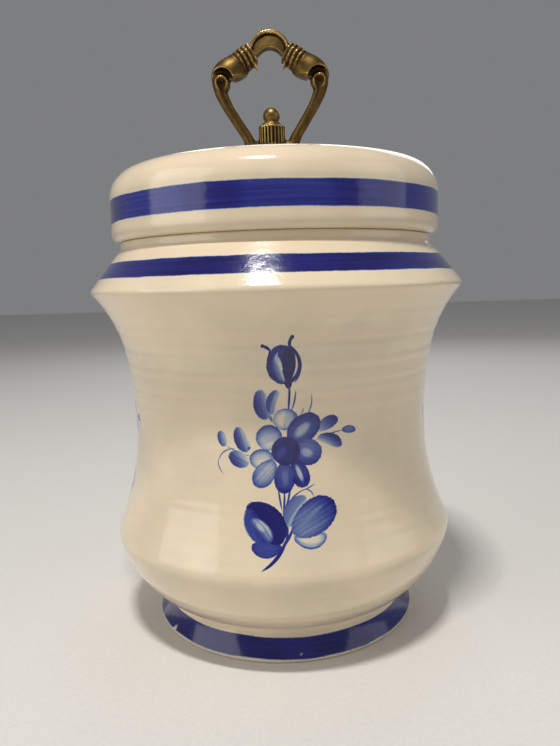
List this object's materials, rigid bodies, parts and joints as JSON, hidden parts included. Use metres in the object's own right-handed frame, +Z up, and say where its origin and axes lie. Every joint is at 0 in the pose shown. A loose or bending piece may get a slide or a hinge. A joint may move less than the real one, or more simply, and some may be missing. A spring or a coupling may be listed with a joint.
{
  "type": "food canister",
  "caption": "Waisted glazed ceramic food canister with a blue-banded lift-off lid and a cast brass ring handle.",
  "frame": {"origin": "centre of the foot ring, on the surface the canister stands on", "axes": "+Z up along the axis of the pot, +X to the right as seen from the painted front, which faces -Y"},
  "size_m": [0.1796, 0.1796, 0.2829],
  "materials": {
    "body_glaze": "gloss",
    "lid_glaze": "gloss",
    "handle_brass": "aged",
    "fastener_brass": "satin",
    "pad_felt": "matte",
    "washer_rubber": "matte"
  },
  "bodies": {
    "canister": {"canister_body": "body_glaze"},
    "lid_set": {"lid": "lid_glaze", "handle": "handle_brass", "ball_finial": "handle_brass", "stud": "fastener_brass", "handle_pad": "pad_felt", "inner_washer": "washer_rubber", "plain_washer": "fastener_brass", "hex_nut": "fastener_brass"}
  },
  "joints": [
    {"name": "lid_lift", "type": "slide", "parent": "canister", "child": "lid_set", "axis": [0, 0, 1], "range_m": [0, 0.06]}
  ]
}
